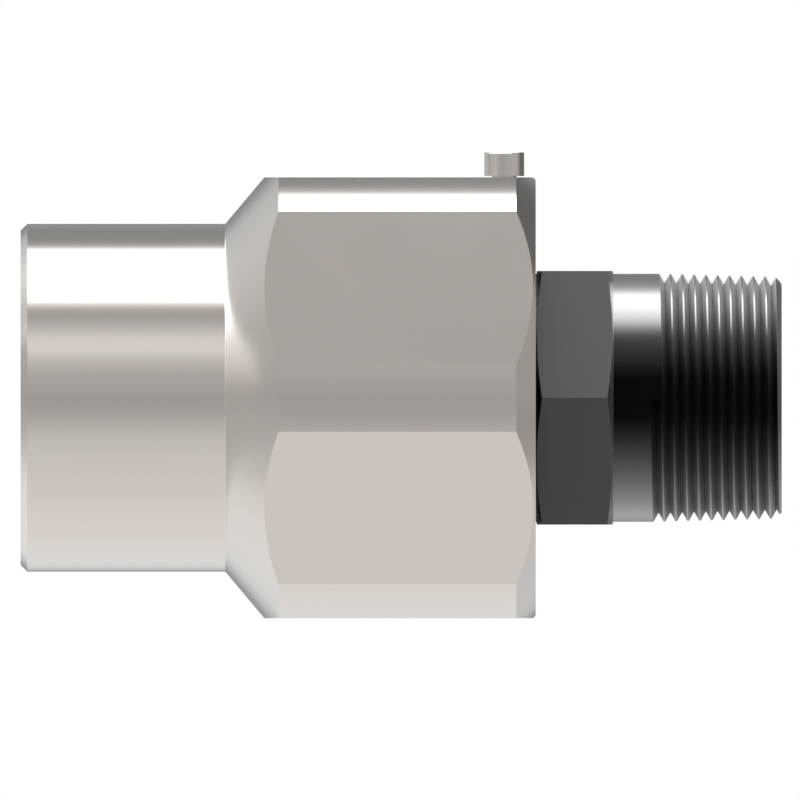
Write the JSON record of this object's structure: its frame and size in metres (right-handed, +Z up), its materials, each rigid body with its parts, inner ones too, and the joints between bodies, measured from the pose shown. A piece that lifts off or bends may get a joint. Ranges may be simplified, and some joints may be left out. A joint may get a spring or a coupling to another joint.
{
  "type": "swivel fitting",
  "caption": "In-line swivel fitting: hexagon housing with a female pipe port, and a male pipe thread stem that turns in it on a row of bearing balls.",
  "frame": {"origin": "centre of the female port's face, on the swivel axis", "axes": "+X along the swivel axis from the female port to the male thread, +Z up through the loading screw, square to one flat of each hexagon"},
  "size_m": [0.1488, 0.0928, 0.0911],
  "materials": {
    "housing_steel": "turned and milled stainless steel, satin",
    "stem_steel": "dark polished steel",
    "screw_steel": "satin steel",
    "ball_steel": "polished bearing steel",
    "seal_rubber": "black nitrile rubber",
    "backup_plastic": "white fluoroplastic",
    "guide_plastic": "bronze-filled fluoroplastic"
  },
  "bodies": {
    "housing": {"housing": "housing_steel", "loading_screw": "screw_steel", "main_oring": "seal_rubber", "backup_ring_port_side": "backup_plastic", "backup_ring_thread_side": "backup_plastic", "nose_guide_ring": "guide_plastic"},
    "stem": {"stem": "stem_steel", "barrel_guide_ring": "guide_plastic", "dust_oring": "seal_rubber"},
    "ball_row": {"ball_01": "ball_steel", "ball_02": "ball_steel", "ball_03": "ball_steel", "ball_04": "ball_steel", "ball_05": "ball_steel", "ball_06": "ball_steel", "ball_07": "ball_steel", "ball_08": "ball_steel", "ball_09": "ball_steel", "ball_10": "ball_steel", "ball_11": "ball_steel", "ball_12": "ball_steel", "ball_13": "ball_steel", "ball_14": "ball_steel", "ball_15": "ball_steel", "ball_16": "ball_steel", "ball_17": "ball_steel", "ball_18": "ball_steel", "ball_19": "ball_steel", "ball_20": "ball_steel", "ball_21": "ball_steel", "ball_22": "ball_steel", "ball_23": "ball_steel", "ball_24": "ball_steel", "ball_25": "ball_steel", "ball_26": "ball_steel", "ball_27": "ball_steel", "ball_28": "ball_steel", "ball_29": "ball_steel", "ball_30": "ball_steel", "ball_31": "ball_steel", "ball_32": "ball_steel", "ball_33": "ball_steel", "ball_34": "ball_steel", "ball_35": "ball_steel", "ball_36": "ball_steel", "ball_37": "ball_steel", "ball_38": "ball_steel", "ball_39": "ball_steel", "ball_40": "ball_steel", "ball_41": "ball_steel", "ball_42": "ball_steel", "ball_43": "ball_steel", "ball_44": "ball_steel", "ball_45": "ball_steel"}
  },
  "joints": [
    {"name": "stem_spin", "type": "hinge", "parent": "housing", "child": "stem", "pos_m": [0.1008, 0, 0], "axis": [1, 0, 0], "continuous": true},
    {"name": "ball_orbit", "type": "hinge", "parent": "housing", "child": "ball_row", "pos_m": [0.09456, 0, 0], "axis": [1, 0, 0], "continuous": true}
  ],
  "couplings": [
    {"joint": "ball_orbit", "follows": "stem_spin", "ratio": 0.46535}
  ]
}
